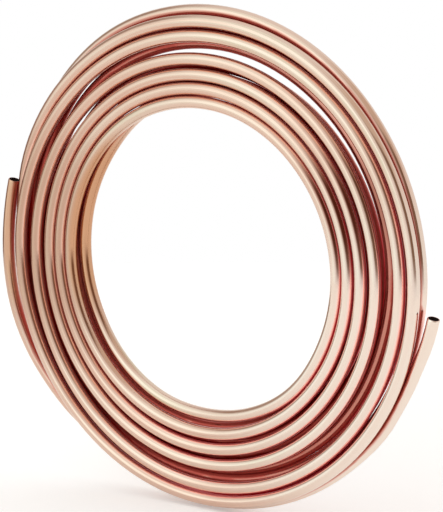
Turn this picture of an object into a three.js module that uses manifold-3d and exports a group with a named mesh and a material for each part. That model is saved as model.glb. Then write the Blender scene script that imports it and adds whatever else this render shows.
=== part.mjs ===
// Coil of soft copper tube, wound in two layers side by side and stood on its rim.
// Millimetres, +Z up, the coil's axis along Y, the end nearer the viewer at -Y.
import * as THREE from 'three';
import { mergeVertices } from 'three/addons/utils/BufferGeometryUtils.js';
import Module from 'manifold-3d';

// Tube: 3/8 in outside diameter, 0.032 in wall
const TUBE_OD = 9.525;
const TUBE_WALL = 0.81;

// Winding: turns in each layer, each layer's innermost turn measured to its centre line, the air
// between neighbouring turns of the front layer, and the wide gap where its outer turns sprang loose
const TURNS = 6;
const FRONT_EYE_R = 121.5;
const BACK_EYE_R = 126;
const TURN_GAP = 2;
const TIGHT_TURNS = 4;
const LOOSE_GAP = 10;

// Free ends. Each leaves the back layer's outer turn at one angle and is cut off at another, both
// anticlockwise from +X seen from the front. lift and swell are how far it springs out at the
// cut and half way, and cutY is where the cut lies along the coil's axis.
const LEFT_END = { fromDeg: 246, toDeg: 165.4, lift: 9, swell: 5, cutY: -0.5 };
const RIGHT_END = { fromDeg: 297, toDeg: 355.4, lift: 15.4, swell: 0, cutY: 0 };

// Facets: flats round a tube, corners that show beside the seam between the layers and down each
// groove of the front and of the back, steps round the coil and along a free end
const TUBE_SIDES = 12;
const SEAM_CORNERS = 2;
const FRONT_GROOVE_CORNERS = 2;
const BACK_GROOVE_CORNERS = 1;
const COIL_STEPS = 44;
const END_STEPS = 12;

// How far the bore's cutter runs past the cut end, as a share of the free end
const CUTTER_OVERRUN = 0.03;
const WELD_MM = 1e-4;

const RADIUS = TUBE_OD / 2;
const BORE_RADIUS = RADIUS - TUBE_WALL;
const BACK_LAYER_Y = RADIUS;
const FRONT_LAYER_Y = -RADIUS;
const FRONT_TURN_R = Array.from({ length: TURNS }, (_, turn) => {
  const loosened = turn < TIGHT_TURNS ? 0 : LOOSE_GAP - TURN_GAP;
  return FRONT_EYE_R + turn * (TUBE_OD + TURN_GAP) + loosened;
});
const OUTER_TURN_R = FRONT_TURN_R[TURNS - 1];
const BACK_TURN_R = Array.from({ length: TURNS }, (_, turn) => (
  THREE.MathUtils.lerp(BACK_EYE_R, OUTER_TURN_R, turn / (TURNS - 1))
));

const wasm = await Module();
wasm.setup();

// Corners of a tube's section whose flats touch the true circle, counted anticlockwise
function sectionCorners(centreX, centreY, radius, first, count) {
  const step = (2 * Math.PI) / TUBE_SIDES;
  const cornerR = radius / Math.cos(step / 2);
  return Array.from({ length: count }, (_, i) => {
    const angle = (first + i + 0.5) * step;
    return new THREE.Vector2(centreX + cornerR * Math.cos(angle), centreY + cornerR * Math.sin(angle));
  });
}

// Corners of the back layer that face the front between two radii, as seen down the loose gap
function cornersBehind(fromR, toR) {
  const first = TUBE_SIDES / 2 + 1;
  return BACK_TURN_R
    .flatMap((r) => sectionCorners(r, BACK_LAYER_Y, RADIUS, first, TUBE_SIDES / 2 - 2))
    .filter((corner) => corner.x > fromR && corner.x < toR);
}

// The wound body cut through its axis: each turn's outline on both ends, grooves between the
// turns, and a seam between the two layers down the rim and down the eye
function windingOutline() {
  const half = TUBE_SIDES / 2;
  const last = TURNS - 1;
  const outline = [];
  for (let turn = last; turn >= 0; turn -= 1) {
    const outer = turn === last ? SEAM_CORNERS : BACK_GROOVE_CORNERS;
    const inner = turn === 0 ? SEAM_CORNERS : BACK_GROOVE_CORNERS;
    const count = outer + half + inner;
    outline.push(...sectionCorners(BACK_TURN_R[turn], BACK_LAYER_Y, RADIUS, -outer, count));
  }
  for (let turn = 0; turn <= last; turn += 1) {
    const inner = turn === 0 ? SEAM_CORNERS : FRONT_GROOVE_CORNERS;
    const outer = turn === last ? SEAM_CORNERS : FRONT_GROOVE_CORNERS;
    const count = inner + half + outer;
    outline.push(...sectionCorners(FRONT_TURN_R[turn], FRONT_LAYER_Y, RADIUS, half - inner, count));
    if (turn === TIGHT_TURNS - 1) {
      const gapFrom = outline[outline.length - 1].x;
      const gapTo = FRONT_TURN_R[turn + 1] - (gapFrom - FRONT_TURN_R[turn]);
      outline.push(...cornersBehind(gapFrom, gapTo));
    }
  }
  outline.push(outline[0].clone());
  return outline;
}

// Half a step round, so that the coil stands on a facet
function windingSolid() {
  return solidFrom(new THREE.LatheGeometry(windingOutline(), COIL_STEPS, Math.PI / COIL_STEPS));
}

// Centre line of a free end, from inside the outer turn (share 0) to its cut (share 1)
function freeEndPoint(end, share) {
  const angle = THREE.MathUtils.degToRad(THREE.MathUtils.lerp(end.fromDeg, end.toDeg, share));
  const r = OUTER_TURN_R + end.lift * share ** 3 + end.swell * Math.sin(Math.PI * share);
  const y = THREE.MathUtils.lerp(BACK_LAYER_Y, end.cutY, THREE.MathUtils.smoothstep(share, 0, 1));
  return new THREE.Vector3(r * Math.cos(angle), y, r * Math.sin(angle));
}

function sweptAlongEnd(end, radius, reach) {
  const shares = Array.from({ length: END_STEPS + 1 }, (_, i) => (reach * i) / END_STEPS);
  const path = new THREE.CatmullRomCurve3(shares.map((share) => freeEndPoint(end, share)));
  const section = new THREE.Shape(sectionCorners(0, 0, radius, 0, TUBE_SIDES));
  const options = { steps: END_STEPS, extrudePath: path, bevelEnabled: false };
  return solidFrom(new THREE.ExtrudeGeometry(section, options));
}

// A three.js geometry as a manifold solid
function solidFrom(geometry) {
  const bare = geometry.clone();
  bare.deleteAttribute('normal');
  bare.deleteAttribute('uv');
  const welded = mergeVertices(bare, WELD_MM);
  const mesh = new wasm.Mesh({
    numProp: 3,
    vertProperties: new Float32Array(welded.attributes.position.array),
    triVerts: new Uint32Array(welded.index.array),
  });
  return new wasm.Manifold(mesh);
}

function geometryFrom(solid) {
  const mesh = solid.getMesh();
  const geometry = new THREE.BufferGeometry();
  geometry.setAttribute('position', new THREE.BufferAttribute(mesh.vertProperties, mesh.numProp));
  geometry.setIndex(new THREE.BufferAttribute(mesh.triVerts, 1));
  geometry.computeVertexNormals();
  return geometry;
}

// The whole coil: one length of tube, open at both cut ends
function coilSolid() {
  let coil = windingSolid();
  for (const end of [LEFT_END, RIGHT_END]) coil = coil.add(sweptAlongEnd(end, RADIUS, 1));
  for (const end of [LEFT_END, RIGHT_END]) {
    coil = coil.subtract(sweptAlongEnd(end, BORE_RADIUS, 1 + CUTTER_OVERRUN));
  }
  return coil;
}

// Stood on the floor, midway over the origin
function stoodOnFloor(geometry) {
  geometry.computeBoundingBox();
  const box = geometry.boundingBox;
  const middle = box.getCenter(new THREE.Vector3());
  return geometry.translate(-middle.x, -middle.y, -box.min.z);
}

const softCopper = new THREE.MeshStandardMaterial({ color: 0xc98a68, roughness: 0.3, metalness: 1 });

const coil = new THREE.Mesh(stoodOnFloor(geometryFrom(coilSolid())), softCopper);
coil.name = 'copper_tube';

const part = new THREE.Group();
part.name = 'copper_tube_coil';
part.add(coil);

export default part;
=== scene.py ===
import math
from bisect import bisect_right

import bmesh
import bpy
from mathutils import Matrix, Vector


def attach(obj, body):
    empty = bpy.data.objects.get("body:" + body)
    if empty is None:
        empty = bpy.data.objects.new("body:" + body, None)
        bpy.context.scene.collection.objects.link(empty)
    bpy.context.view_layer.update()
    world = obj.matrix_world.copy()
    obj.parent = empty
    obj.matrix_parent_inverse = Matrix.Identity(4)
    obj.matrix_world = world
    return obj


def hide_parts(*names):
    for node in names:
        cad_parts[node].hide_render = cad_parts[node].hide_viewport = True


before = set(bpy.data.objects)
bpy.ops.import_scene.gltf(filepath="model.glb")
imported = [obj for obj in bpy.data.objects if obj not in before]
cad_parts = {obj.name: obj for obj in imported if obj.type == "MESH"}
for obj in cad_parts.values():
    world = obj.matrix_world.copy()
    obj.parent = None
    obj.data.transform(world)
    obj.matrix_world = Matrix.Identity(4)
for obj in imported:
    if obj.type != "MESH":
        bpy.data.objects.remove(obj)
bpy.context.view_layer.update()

MM = 0.001

# Tube: 3/8 in outside, 0.032 in wall
TUBE_OD = 9.525
TUBE_WALL = 0.81
RADIUS = TUBE_OD / 2
BORE = RADIUS - TUBE_WALL
FRONT, BACK = -RADIUS, RADIUS      # the depth of each layer's centre line

# The spiral's centre in the part's frame, mm
CENTRE_X, CENTRE_Z = -3.8, 187.5

# Every leg is a list of (angle, radius, depth), apart from the whole turns of a layer, which
# leave the depth out; the angle counts on from turn to turn.
LEFT_END = (
    (165.4, 191.6, -0.5), (174, 192.4, 0.4), (184, 193.8, 1.1), (196, 194.6, 1.8),
    (206, 193.2, 3.2), (216, 190.0, 4.8), (222, 188.0, 5.5), (228, 186.8, 8.0),
    (240, 184.0, 13.6), (255, 181.0, 14.3), (270, 179.0, 14.3), (285, 177.5, 12.5),
    (300, 177.0, 10.3), (315, 177.9, 8.5), (326, 179.6, 6.8), (340, 182.9, BACK),
)
BACK_OUTSIDE = (
    (350, 186.2, BACK), (360, 187.9, BACK), (370, 188.5, BACK), (405, 190.4, BACK),
    (430, 191.8, BACK), (460, 191.9, BACK), (480, 190.8, BACK), (497, 187.6, BACK),
    (510, 184.6, 6.7), (521, 181.0, 9.2), (532, 176.8, 10.3), (545, 172.2, 7.8),
    (560, 169.3, BACK),
)
# The back layer's own turns, laid against each other where the front ones leave a gap
BACK_TURNS = (
    (585, 167.8), (630, 164.9), (675, 169.2), (690, 170.2), (720, 173.9), (765, 177.5),
    (810, 180.0), (855, 176.3), (900, 163.9), (945, 157.8), (990, 155.9), (1020, 158.2),
    (1035, 159.5), (1050, 160.0), (1065, 160.7), (1080, 163.1), (1125, 166.4), (1170, 168.1),
    (1215, 165.1), (1260, 153.9), (1305, 147.9), (1350, 146.1), (1380, 145.6), (1395, 146.3),
    (1410, 148.0), (1425, 150.6), (1440, 152.7), (1485, 153.0), (1507, 152.2), (1530, 152.0),
    (1575, 151.1), (1620, 143.3), (1665, 138.1), (1710, 136.3), (1740, 135.5), (1755, 136.2),
    (1770, 137.9), (1785, 139.6), (1800, 140.9), (1845, 142.9), (1867, 142.2), (1890, 141.4),
    (1912, 140.5), (1935, 137.2), (1957, 131.4), (1980, 128.6), (2025, 127.9), (2070, 125.6),
    (2100, 125.3), (2115, 126.4), (2130, 127.9), (2145, 129.0), (2160, 129.8), (2205, 131.6),
    (2250, 131.6),
)
CROSSING = (
    (2280, 127.4, BACK), (2300, 122.7, BACK), (2320, 120.3, BACK), (2340, 119.0, BACK),
    (2362, 117.9, BACK), (2385, 117.3, 3.6), (2407, 116.4, 2.1), (2430, 114.9, 0.0),
    (2452, 116.4, -2.4), (2475, 119.3, -4.3), (2497, 120.0, FRONT), (2520, 121.6, FRONT),
    (2565, 122.6, FRONT), (2610, 124.3, FRONT), (2655, 126.0, FRONT), (2700, 125.9, FRONT),
    (2745, 126.5, FRONT),
)
# Radii at eight points a turn, starting at the bottom
FRONT_START, STEP_DEG = 2790, 45
FRONT_TURNS = (
    (128.1, 129.5, 131.3, 132.4, 134.4, 136.0, 136.1, 137.5),
    (140.0, 141.4, 142.5, 143.6, 144.9, 146.0, 146.4, 149.0),
    (152.2, 154.2, 155.4, 156.0, 156.7, 158.0, 160.1, 164.0),
    (168.9, 172.8, 175.7, 176.2, 173.9, 173.2, 176.0, 177.0),
    (179.9, 184.3, 187.8, 187.6, 185.0, 182.8),
)
RIGHT_END = (
    (4470, 182.9, -3.0), (4481, 182.9, -0.3), (4490, 181.9, 2.4), (4500, 181.0, 3.0),
    (4520, 179.6, 3.9), (4542, 178.9, 4.4), (4560, 180.3, BACK), (4590, 182.7, BACK),
    (4605, 183.9, BACK), (4620, 185.3, BACK), (4635, 187.3, BACK), (4646, 190.2, 4.5),
    (4653, 191.0, 3.9), (4659, 193.0, 3.1), (4664, 195.1, 2.2), (4669, 198.6, 1.2),
    (4675.4, 202.5, 0.0),
)

# Mesh: the skin in steps of 2.5 degrees with 28 sides, the bore in coarser steps
SKIN_STEP, SKIN_SIDES = 2.5, 28
BORE_STEP = 5.0
NUDGE_DEG = 0.05                    # how far to each side the line's direction is taken
# The cutter draws each cut end in by a lip, over twice its own length, bent part of the way
# along, where it is drawn in by a part of the whole
LIP, LIP_BEND, LIP_DRAWN = 0.35, 0.3, 0.35
# How open each spot of the skin lies: the ways it looks across the tube, and the turns it can meet
LOOK_DEG = tuple(range(-80, 81, 16))
NEAR_TURNS = 45.0


def srgb(hex_colour):
    """An sRGB hex colour as linear RGBA."""
    parts = [int(hex_colour[i:i + 2], 16) / 255 for i in (1, 3, 5)]
    return [c / 12.92 if c <= 0.04045 else ((c + 0.055) / 1.055) ** 2.4 for c in parts] + [1.0]


def winding():
    """The whole centre line, from the left cut end to the right one."""
    back = [(angle, r, BACK) for angle, r in BACK_TURNS]
    radii = [r for turn in FRONT_TURNS for r in turn]
    front = [(FRONT_START + STEP_DEG * i, r, FRONT) for i, r in enumerate(radii)]
    return [*LEFT_END, *BACK_OUTSIDE, *back, *CROSSING, *front, *RIGHT_END]


def slopes(angles, values, level=False):
    """Slopes of a smooth curve through its points; a level one never overshoots them."""
    gap = [b - a for a, b in zip(angles, angles[1:])]
    rate = [(b - a) / g for a, b, g in zip(values, values[1:], gap)]
    if level:
        inner = [2 * a * b / (a + b) if a * b > 0 else 0.0 for a, b in zip(rate, rate[1:])]
    else:
        inner = [(a * h + b * g) / (g + h)
                 for a, b, g, h in zip(rate, rate[1:], gap, gap[1:])]
    return [rate[0], *inner, rate[-1]]


def smooth_curve(angles, values, at, tangents):
    """The value of the curve at one angle, cubic between its points."""
    high = bisect_right(angles, at, 1, len(angles) - 1)
    low = high - 1
    gap = angles[high] - angles[low]
    t = (at - angles[low]) / gap
    a, b = values[low], values[high]
    return (
        a * (1 + 2 * t) * (1 - t) ** 2 + b * t * t * (3 - 2 * t)
        + gap * (tangents[low] * t * (1 - t) ** 2 - tangents[high] * t * t * (1 - t))
    )


class CentreLine:
    """The winding's centre line in metres, with a frame at each angle."""

    def __init__(self, points):
        self.angles = [p[0] for p in points]
        self.radii = [p[1] for p in points]
        self.depths = [p[2] for p in points]
        self.radius_slopes = slopes(self.angles, self.radii)
        self.depth_slopes = slopes(self.angles, self.depths, level=True)

    def place(self, angle):
        """Distance from the spiral's axis and depth at an angle, mm."""
        return (smooth_curve(self.angles, self.radii, angle, self.radius_slopes),
                smooth_curve(self.angles, self.depths, angle, self.depth_slopes))

    def point(self, angle):
        r, y = self.place(angle)
        turn = math.radians(angle)
        return Vector((CENTRE_X + r * math.cos(turn), y, CENTRE_Z + r * math.sin(turn))) * MM

    def turns_beside(self, angle):
        """How far outward and forward of the tube the turns near it lie at an angle, mm."""
        start, end = self.angles[0], self.angles[-1]
        here_r, here_y = self.place(angle)
        beside = []
        other = start + (angle - start) % 360
        while other <= end:
            if abs(other - angle) > 1:
                r, y = self.place(other)
                if abs(r - here_r) < NEAR_TURNS:
                    beside.append((r - here_r, here_y - y))
            other += 360
        return beside

    def station(self, angle):
        """Centre, outward direction and forward direction at an angle."""
        start, end = self.angles[0], self.angles[-1]
        before = self.point(max(angle - NUDGE_DEG, start))
        after = self.point(min(angle + NUDGE_DEG, end))
        along = (after - before).normalized()
        forward = Vector((0, -1, 0))
        forward = (forward - along * forward.dot(along)).normalized()
        return self.point(angle), along.cross(forward), forward


def spaced(start, end, step):
    """Angles from start to end in equal steps of about the size asked for."""
    count = max(1, round((end - start) / step))
    return [start + (end - start) * i / count for i in range(count + 1)]


def open_share(around, others):
    """The share of what a spot on the skin faces, across the tube, that no other turn covers."""
    here = RADIUS * math.sin(around), RADIUS * math.cos(around)
    seen = whole = 0.0
    for turn in LOOK_DEG:
        weight = math.cos(math.radians(turn))
        way = around + math.radians(turn)
        way = math.sin(way), math.cos(way)
        whole += weight
        for out, near in others:
            out, near = out - here[0], near - here[1]
            ahead = out * way[0] + near * way[1]
            if ahead > 0 and abs(out * way[1] - near * way[0]) < RADIUS:
                break
        else:
            seen += weight
    return seen / whole


def wound_skin(mesh, line, angles, radii, sides, inside=False):
    """Rolls a flat grid into a tube and winds it along the centre line. Returns its end rims."""
    straight = mesh.verts.layers.float_vector["straight"]
    openness = mesh.verts.layers.float["openness"]
    last = len(angles) - 1
    grid = bmesh.ops.create_grid(mesh, x_segments=last, y_segments=sides, size=1.0)["verts"]
    stations = [line.station(a) for a in angles]
    others = [line.turns_beside(a) for a in angles]
    run = [0.0]
    for before, after in zip(stations, stations[1:]):
        run.append(run[-1] + (after[0] - before[0]).length)
    rows = [[None] * (sides + 1) for _ in angles]
    for vert in grid:
        row = round((vert.co.x + 1) / 2 * last)
        column = round((vert.co.y + 1) / 2 * sides)
        around = 2 * math.pi * column / sides
        centre, outward, forward = stations[row]
        side, front = radii[row] * MM * math.sin(around), radii[row] * MM * math.cos(around)
        vert.co = centre + outward * side + forward * front
        vert[straight] = Vector((side, front, run[row]))
        vert[openness] = 0.0 if inside else open_share(around, others[row])
        rows[row][column] = vert
    bmesh.ops.weld_verts(mesh, targetmap={row[sides]: row[0] for row in rows})
    return rows[0][:sides], rows[last][:sides]


def cut_face(mesh, outer, inner):
    """The flat ring of the wall at a cut end."""
    for i in range(len(outer)):
        j = (i + 1) % len(outer)
        mesh.faces.new((outer[i], outer[j], inner[j], inner[i]))


def copper_tube():
    """The coil: skin and bore wound along one line, joined at the two cut ends."""
    line = CentreLine(winding())
    start, end = line.angles[0], line.angles[-1]
    skin_angles = spaced(start, end, SKIN_STEP)
    lip_deg = math.degrees(2 * LIP / line.radii[0])
    bend_deg = lip_deg * LIP_BEND
    skin_angles[1:1] = [start + bend_deg, start + lip_deg]
    skin_angles[-1:-1] = [end - lip_deg, end - bend_deg]
    skin_radii = [RADIUS] * len(skin_angles)
    for i, drawn in ((0, LIP), (1, LIP * LIP_DRAWN), (-2, LIP * LIP_DRAWN), (-1, LIP)):
        skin_radii[i] = RADIUS - drawn
    bore_angles = spaced(start, end, BORE_STEP)
    mesh = bmesh.new()
    mesh.verts.layers.float_vector.new("straight")
    mesh.verts.layers.float.new("openness")
    skin_ends = wound_skin(mesh, line, skin_angles, skin_radii, SKIN_SIDES)
    bore_ends = wound_skin(mesh, line, bore_angles, [BORE] * len(bore_angles), SKIN_SIDES, True)
    for outer, inner in zip(skin_ends, bore_ends):
        cut_face(mesh, outer, inner)
    bmesh.ops.recalc_face_normals(mesh, faces=mesh.faces)
    data = bpy.data.meshes.new("copper_tube_wound")
    mesh.to_mesh(data)
    mesh.free()
    data.shade_smooth()
    piece = bpy.data.objects.new("copper_tube_wound", data)
    bpy.context.collection.objects.link(piece)
    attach(piece, "root")
    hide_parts("copper_tube")
    return piece


def add_node(tree, kind, settings=None, links=None):
    """Adds one node, sets its properties or inputs, and links its inputs."""
    node = tree.nodes.new(kind)
    for key, value in (settings or {}).items():
        if isinstance(key, str) and hasattr(node, key):
            setattr(node, key, value)
        else:
            node.inputs[key].default_value = value
    for key, socket in (links or {}).items():
        tree.links.new(socket, node.inputs[key])
    return node


def new_material(name):
    material = bpy.data.materials.new(name)
    material.use_nodes = True
    material.node_tree.nodes.clear()
    return material, material.node_tree


# Where the tube lies open: pink metal from the die, under a cream film. The crowns' pale cream is
# partly a painted highlight, the washed-out look of their bright reflections.
COPPER_TONES = ((0.30, "#d2ab98"), (0.44, "#dab9a6"), (0.56, "#dcc2b0"), (0.70, "#cdbca2"))
# On its sides the metal is painted a lighter pink, a painted reflection of copper in copper. In
# the grooves it is painted darker and redder, painted shade over the red oxide of the annealing,
# and all of it is painted darker
# away from the lower right: (tone there, tone far off, openness at none and full)
PAINTED_SIDE_AND_GROOVE_TONES = (
    ("#fdcfc5", "#e8baa7", (0.88, 0.62)),
    ("#dc5358", "#bc6c5c", (0.50, 0.30)),
    ("#ea303a", "#c8241a", (0.28, 0.08)),
)
# Painted shade: the tones go over to the darker far ones between these distances from the lower
# right, mm
FAR_FROM, FAR = (140.0, 0.0, 60.0), (130.0, 260.0)
# Between the two layers, by depth, painted shade: the faces behind the front turns are painted
# darker and redder. (tone, openness at none and full)
NEST_SHADE_DEPTH = (4.4, 1.8)
NEST_PAINTED_SHADE = (("#bf7f70", (0.85, 0.62)), ("#c4584c", (0.56, 0.40)), ("#9c1c16", (0.30, 0.14)))
# A painted dark reflection of the room's unlit side on the inner turns at the upper right: tone,
# centre, full and outer reach, and the openness between which it is painted
PAINTED_DARK_REFLECTION = "#8e5544", (116.0, 0.0, 240.0), (15.0, 60.0), (0.35, 0.60, 0.82, 0.97)
# Broad clouds of painted light on the coil, darker on the left and lighter at the lower right:
# (tone, centre, full and outer reach, strength)
PAINTED_LIGHT_CLOUDS = (
    ("#b88f78", (-155.0, 0.0, 200.0), (40.0, 120.0), 0.7),    # painted shade, this side darker
    ("#f0e2d5", (170.0, 0.0, 100.0), (60.0, 190.0), 0.8),     # painted light, brighter here
)
# Tones on rings of the coil, painted light among them: (tone, centre, full and outer reach, the
# ring they keep to: its fading edges)
RING_TONES_AND_PAINTED_LIGHT = (
    ("#cb9a78", (-115.0, 0.0, 215.0), (45.0, 95.0), (0.0, 1.0, 122.0, 127.0)),   # painted tan reflection on the flanks facing the eye
    # a tan band on the left cut end's turn
    ("#cfa588", (-190.0, 0.0, 200.0), (45.0, 75.0), (186.5, 188.5, 192.0, 195.5)),
    # painted shade on the inner flank of the left cut end's turn
    ("#94503a", (-190.0, 0.0, 200.0), (35.0, 65.0), (184.0, 186.0, 188.2, 190.0)),
)
RING_TONE_OPEN = (0.25, 0.55)           # they don't reach the grooves: openness at none and full
# The bore's wall is painted near-black, as painted shade inside the tube, and is rougher
BORE_PAINTED_SHADE, BORE_ROUGHNESS = "#1c0f0b", 0.5
BORE_EDGE = (BORE + 0.15, BORE + 0.05)   # its painted shade starts this far from the tube's axis
POLISH = (0.09, 0.19)               # roughness, wiped and fingered
FINGERED = (0.35, 0.7)              # how strong a finger mark is at the first and the second
# The oxide is a dull film that hides part of the metal: roughness, metallic, openness at none
# and full
OXIDE_ROUGHNESS, OXIDE_METALLIC, OXIDE_OPEN = 0.40, 0.35, (0.62, 0.30)
OXIDE_GLOSS = 0.1                   # powdery, so next to none
# Sizes of the marks round the tube and along it, mm; the die's own lines are far finer
DIE_LINES = (1.3, 260.0)
TONE_PATCHES = (9.0, 120.0)
FINGER_MARKS = (7.0, 16.0)
HAND_BENDS = (60.0, 45.0)
LINES_IN_FILM = 0.45                # the share of the die's lines in the film's tone
WAVER, SCORE = 0.6, 0.012           # how deep the bends and the die's lines go, mm


def along_the_tube(tree, place, size):
    """The tube laid straight, scaled so that one unit is a mark's width and its length."""
    across, length = (1 / (side * MM) for side in size)
    return add_node(tree, "ShaderNodeVectorMath", {
        "operation": "MULTIPLY", 1: (across, across, length)}, {0: place}).outputs[0]


def between(tree, value, none_at, full_at, most=1.0):
    """0 at one value and the most at the other, with a soft change."""
    return add_node(tree, "ShaderNodeMapRange", {
        "interpolation_type": "SMOOTHSTEP", "From Min": none_at, "From Max": full_at,
        "To Max": most}, {"Value": value}).outputs[0]


def overlap(tree, one, other):
    """1 only where both are."""
    return add_node(tree, "ShaderNodeMath", {"operation": "MULTIPLY"}, {
        0: one, 1: other}).outputs[0]


def fade(tree, value, edges):
    """1 between the two middle edges, falling smoothly to 0 at the outer ones."""
    return overlap(tree, between(tree, value, *edges[:2]), between(tree, value, *edges[:1:-1]))


def toned(tree, colour, share, tone):
    """Goes over to a tone, a hex colour or a socket, by a share of 0 to 1."""
    over = {7: srgb(tone)} if isinstance(tone, str) else {}
    under = {0: share, 6: colour} if over else {0: share, 6: colour, 7: tone}
    return add_node(tree, "ShaderNodeMix", {"data_type": "RGBA", **over}, under).outputs[2]


def marks(tree, place, size, detail):
    """Marks of one size all over the tube."""
    return add_node(tree, "ShaderNodeTexNoise", {"Scale": 1.0, "Detail": detail}, {
        "Vector": along_the_tube(tree, place, size)}).outputs["Fac"]


def distance(tree, on_coil, point):
    """How far a spot of the coil lies from a point in mm."""
    return add_node(tree, "ShaderNodeVectorMath", {
        "operation": "DISTANCE", 1: [c * MM for c in point]}, {0: on_coil}).outputs["Value"]


def close_to(tree, on_coil, centre, reach, most=1.0):
    """The most within the full reach of a centre, falling to 0 at the outer one."""
    full, outer = (r * MM for r in reach)
    return between(tree, distance(tree, on_coil, centre), outer, full, most)


def open_metal(tree, place, lines, on_coil):
    """Film in long patches, streaked by the die's lines, and broad clouds of painted light and
    shade.
    """
    film = add_node(tree, "ShaderNodeMix", {"data_type": "FLOAT", 0: LINES_IN_FILM}, {
        2: marks(tree, place, TONE_PATCHES, 2.0), 3: lines})
    ramp = add_node(tree, "ShaderNodeValToRGB", links={0: film.outputs[0]})
    stops = ramp.color_ramp.elements
    while len(stops) < len(COPPER_TONES):
        stops.new(0.5)
    for stop, (position, tone) in zip(stops, COPPER_TONES):
        stop.position, stop.color = position, srgb(tone)
    colour = ramp.outputs[0]
    for tone, centre, reach, strength in PAINTED_LIGHT_CLOUDS:
        colour = toned(tree, colour, close_to(tree, on_coil, centre, reach, strength), tone)
    return colour


def painted_shade_and_reflections(tree, colour, openness, on_coil):
    """Painted reflection on the sides, painted shade over the oxide in the grooves and between the
    layers, and a painted dark reflection.
    """
    far = between(tree, distance(tree, on_coil, FAR_FROM), *(d * MM for d in FAR))
    for near_tone, far_tone, open_at in PAINTED_SIDE_AND_GROOVE_TONES:
        tone = add_node(tree, "ShaderNodeMix", {
            "data_type": "RGBA", 6: srgb(near_tone), 7: srgb(far_tone)}, {0: far}).outputs[2]
        colour = toned(tree, colour, between(tree, openness, *open_at), tone)
    parts = add_node(tree, "ShaderNodeSeparateXYZ", links={0: on_coil})
    depth = add_node(tree, "ShaderNodeMath", {"operation": "ABSOLUTE"}, {0: parts.outputs["Y"]})
    nested = between(tree, depth.outputs[0], *(d * MM for d in NEST_SHADE_DEPTH))
    for tone, open_at in NEST_PAINTED_SHADE:
        share = overlap(tree, nested, between(tree, openness, *open_at))
        colour = toned(tree, colour, share, tone)
    tone, centre, reach, left = PAINTED_DARK_REFLECTION
    dark_reflection = overlap(tree, close_to(tree, on_coil, centre, reach), fade(tree, openness, left))
    return toned(tree, colour, dark_reflection, tone)


def ring_tones_and_painted_light(tree, colour, openness, on_coil):
    """Tones on rings of the coil, by the distance from its axis: a painted reflection, a tan band
    and a painted shade.
    """
    flat = add_node(tree, "ShaderNodeVectorMath", {
        "operation": "MULTIPLY_ADD", 1: (1.0, 0.0, 1.0),
        2: (-CENTRE_X * MM, 0.0, -CENTRE_Z * MM)}, {0: on_coil})
    from_axis = add_node(tree, "ShaderNodeVectorMath", {"operation": "LENGTH"}, {
        0: flat.outputs[0]}).outputs["Value"]
    for tone, centre, reach, ring in RING_TONES_AND_PAINTED_LIGHT:
        on_ring = fade(tree, from_axis, [edge * MM for edge in ring])
        share = overlap(tree, close_to(tree, on_coil, centre, reach), on_ring)
        share = overlap(tree, share, between(tree, openness, *RING_TONE_OPEN))
        colour = toned(tree, colour, share, tone)
    return colour


def in_the_bore(tree, place):
    """1 on the bore's wall, by the distance from the tube's own axis."""
    across = add_node(tree, "ShaderNodeVectorMath", {
        "operation": "MULTIPLY", 1: (1.0, 1.0, 0.0)}, {0: place})
    from_axis = add_node(tree, "ShaderNodeVectorMath", {"operation": "LENGTH"}, {
        0: across.outputs[0]}).outputs["Value"]
    return between(tree, from_axis, *(d * MM for d in BORE_EDGE))


def sheen(tree, place, openness, inside):
    """Metallic and roughness: finger marks dull the polish a little, the oxide and bore more."""
    polish = add_node(tree, "ShaderNodeMapRange", {
        "From Min": FINGERED[0], "From Max": FINGERED[1],
        "To Min": POLISH[0], "To Max": POLISH[1]}, {
        "Value": marks(tree, place, FINGER_MARKS, 2.0)})
    oxide = between(tree, openness, *OXIDE_OPEN)
    metallic = add_node(tree, "ShaderNodeMix", {
        "data_type": "FLOAT", 2: 1.0, 3: OXIDE_METALLIC}, {0: oxide})
    oxidised = add_node(tree, "ShaderNodeMix", {"data_type": "FLOAT", 3: OXIDE_ROUGHNESS}, {
        0: oxide, 2: polish.outputs[0]})
    roughness = add_node(tree, "ShaderNodeMix", {"data_type": "FLOAT", 3: BORE_ROUGHNESS}, {
        0: inside, 2: oxidised.outputs[0]})
    return metallic.outputs[0], roughness.outputs[0]


def worked_surface(tree, place, lines):
    """The tube was bent by hand, so its line of light wavers, and the die scored it."""
    waver = add_node(tree, "ShaderNodeBump", {"Strength": 1.0, "Distance": WAVER * MM}, {
        "Height": marks(tree, place, HAND_BENDS, 1.0)})
    return add_node(tree, "ShaderNodeBump", {"Strength": 1.0, "Distance": SCORE * MM}, {
        "Height": lines, "Normal": waver.outputs[0]}).outputs[0]


def soft_drawn_copper():
    """Soft drawn copper: lines from the die, oxide from annealing under painted shade, a film
    where hands held it, and painted highlight, shade and reflections.
    """
    material, tree = new_material("soft_drawn_copper")
    place = add_node(tree, "ShaderNodeAttribute", {"attribute_name": "straight"}).outputs["Vector"]
    openness = add_node(tree, "ShaderNodeAttribute", {"attribute_name": "openness"}).outputs["Fac"]
    on_coil = add_node(tree, "ShaderNodeTexCoord").outputs["Object"]
    lines = marks(tree, place, DIE_LINES, 3.0)
    inside = in_the_bore(tree, place)
    colour = open_metal(tree, place, lines, on_coil)
    colour = painted_shade_and_reflections(tree, colour, openness, on_coil)
    colour = ring_tones_and_painted_light(tree, colour, openness, on_coil)
    metallic, roughness = sheen(tree, place, openness, inside)
    shader = add_node(tree, "ShaderNodeBsdfPrincipled", {"Specular IOR Level": OXIDE_GLOSS}, {
        "Base Color": toned(tree, colour, inside, BORE_PAINTED_SHADE), "Metallic": metallic,
        "Roughness": roughness, "Normal": worked_surface(tree, place, lines)})
    add_node(tree, "ShaderNodeOutputMaterial", links={"Surface": shader.outputs[0]})
    return material


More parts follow.
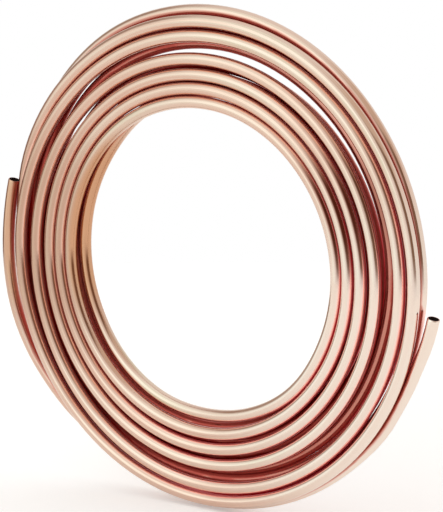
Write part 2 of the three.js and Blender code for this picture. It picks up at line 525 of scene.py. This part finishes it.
# The studio by azimuth (0 towards the coil's front, 90 to its right) and elevation, degrees.
# Each panel: azimuth edges, elevation edges (fading in between the first two and out between
# the last two), and its light. The later ones lie over the earlier ones.
ROOM = (1.0, 1.0, 1.0)
PANELS = (
    # side wall, left
    ((-150, -115, -80, -50), (-90, -40, 35, 62), (0.46, 0.37, 0.32)),
    # something dark low on the left
    ((-118, -102, -80, -60), (-42, -30, -12, 4), (0.28, 0.18, 0.14)),
    # side wall, right, above the open side
    ((10, 45, 150, 165), (22, 38, 55, 88), (0.76, 0.66, 0.57)),
    # glow round the softbox, then the softbox
    ((-75, -45, -12, 14), (-40, -12, 60, 100), (1.13, 1.24, 1.22)),
    ((-50, -33, -9, 3), (-6, 10, 34, 46), (1.46, 1.70, 1.72)),
    # the unlit side, where people stand
    ((18, 50, 77, 88), (-13, -1, 33, 50), (0.25, 0.15, 0.10)),
    # reflector, right
    ((85, 94, 128, 140), (-25, -8, 17, 27), (1.0, 1.02, 1.0)),
)
# The white backdrop behind the coil, by its angle from straight behind and its elevation
BACKDROP = (-75, -45, 45, 75), (-90, -60, 20, 50)


def directions(tree):
    """Azimuth and elevation of the way a ray leaves, in degrees."""
    way = add_node(tree, "ShaderNodeTexCoord").outputs["Generated"]
    parts = add_node(tree, "ShaderNodeSeparateXYZ", links={0: way})
    front = add_node(tree, "ShaderNodeMath", {"operation": "MULTIPLY", 1: -1.0},
                     {0: parts.outputs["Y"]})
    azimuth = add_node(tree, "ShaderNodeMath", {"operation": "ARCTAN2"},
                       {0: parts.outputs["X"], 1: front.outputs[0]})
    rise = add_node(tree, "ShaderNodeMath", {"operation": "ARCSINE"}, {0: parts.outputs["Z"]})
    return [add_node(tree, "ShaderNodeMath", {"operation": "DEGREES"},
                     {0: angle.outputs[0]}).outputs[0] for angle in (azimuth, rise)]


def studio_light(tree, azimuth, rise):
    """The light that comes from the room in every direction."""
    light = None
    for around, up, colour in PANELS:
        share = overlap(tree, fade(tree, azimuth, around), fade(tree, rise, up))
        panel = add_node(tree, "ShaderNodeMix", {
            "data_type": "RGBA", 6: (*ROOM, 1), 7: (*colour, 1)}, {0: share})
        if light:
            tree.links.new(light, panel.inputs[6])
        light = panel.outputs[2]
    return light


FLOOR_RADIUS, FLOOR_SIDES = 1000, 96
FLOOR_WHITE = "#f4f3f3"
FLOOR_LIFT = 0.27                   # brings the unshaded floor up to white


def seen_rays(tree):
    """1 for what is seen straight, in metal or through glass, 0 for what only lights."""
    path = add_node(tree, "ShaderNodeLightPath")
    mirrored = add_node(tree, "ShaderNodeMath", {"operation": "MAXIMUM"}, {
        0: path.outputs["Is Glossy Ray"], 1: path.outputs["Is Transmission Ray"]})
    return path.outputs["Is Camera Ray"], mirrored.outputs[0]


def studio():
    """Soft room light, a white background, and a white backdrop mirrored in the metal."""
    world = bpy.data.worlds.new("studio")
    bpy.context.scene.world = world
    world.use_nodes = True
    tree = world.node_tree
    tree.nodes.clear()
    azimuth, rise = directions(tree)
    light = studio_light(tree, azimuth, rise)
    room = add_node(tree, "ShaderNodeBackground", links={"Color": light})
    white = add_node(tree, "ShaderNodeBackground", {"Color": (1, 1, 1, 1), "Strength": 1.0})
    straight, mirrored = seen_rays(tree)
    behind = add_node(tree, "ShaderNodeMath", {"operation": "WRAP", 1: 180.0, 2: -180.0}, {
        0: add_node(tree, "ShaderNodeMath", {"operation": "ADD", 1: 180.0},
                    {0: azimuth}).outputs[0]})
    backdrop = overlap(tree, fade(tree, behind.outputs[0], BACKDROP[0]),
                       fade(tree, rise, BACKDROP[1]))
    seen = add_node(tree, "ShaderNodeMath", {"operation": "MAXIMUM"}, {
        0: straight, 1: overlap(tree, backdrop, mirrored)})
    both = add_node(tree, "ShaderNodeMixShader", links={
        0: seen.outputs[0], 1: room.outputs[0], 2: white.outputs[0]})
    add_node(tree, "ShaderNodeOutputWorld", links={"Surface": both.outputs[0]})


def floor():
    """A round floor under the coil, which keeps its shadow."""
    mesh = bmesh.new()
    bmesh.ops.create_circle(mesh, cap_ends=True, segments=FLOOR_SIDES, radius=FLOOR_RADIUS * MM)
    data = bpy.data.meshes.new("floor")
    mesh.to_mesh(data)
    mesh.free()
    ground = bpy.data.objects.new("floor", data)
    bpy.context.collection.objects.link(ground)
    data.materials.append(pale_floor())


def pale_floor():
    """White card, lifted to the white of the background wherever it is seen."""
    material, tree = new_material("pale_floor")
    paint = add_node(tree, "ShaderNodeBsdfDiffuse", {"Color": srgb(FLOOR_WHITE)})
    straight, mirrored = seen_rays(tree)
    seen = add_node(tree, "ShaderNodeMath", {"operation": "MAXIMUM"}, {0: straight, 1: mirrored})
    lift = add_node(tree, "ShaderNodeMath", {"operation": "MULTIPLY", 1: FLOOR_LIFT},
                    {0: seen.outputs[0]})
    glow = add_node(tree, "ShaderNodeEmission", {"Color": (1, 1, 1, 1)},
                    {"Strength": lift.outputs[0]})
    both = add_node(tree, "ShaderNodeAddShader", links={0: paint.outputs[0], 1: glow.outputs[0]})
    add_node(tree, "ShaderNodeOutputMaterial", links={"Surface": both.outputs[0]})
    return material


# Camera: 35.75 degrees to the right of the coil's axis, 10.7 degrees above, 2.2 m away
AZIMUTH, ELEVATION, DISTANCE = 35.75, 10.66, 2203.0
AIM = (11.1, 0.0, 196.5)
SENSOR_HEIGHT, LENS = 24.0, 137.7
SEES_TO = 50.0                      # m


def camera():
    turn, rise = math.radians(AZIMUTH), math.radians(ELEVATION)
    back = Vector((
        math.sin(turn) * math.cos(rise), -math.cos(turn) * math.cos(rise), math.sin(rise)))
    data = bpy.data.cameras.new("camera")
    data.sensor_fit = "VERTICAL"
    data.sensor_height = SENSOR_HEIGHT
    data.lens = LENS
    data.clip_end = SEES_TO
    eye = bpy.data.objects.new("camera", data)
    eye.rotation_euler = back.to_track_quat("Z", "Y").to_euler()
    eye.location = (Vector(AIM) + back * DISTANCE) * MM
    bpy.context.collection.objects.link(eye)
    bpy.context.scene.camera = eye


tube = copper_tube()
tube.data.materials.append(soft_drawn_copper())
studio()
floor()
camera()
bpy.context.scene.view_settings.view_transform = "Standard"
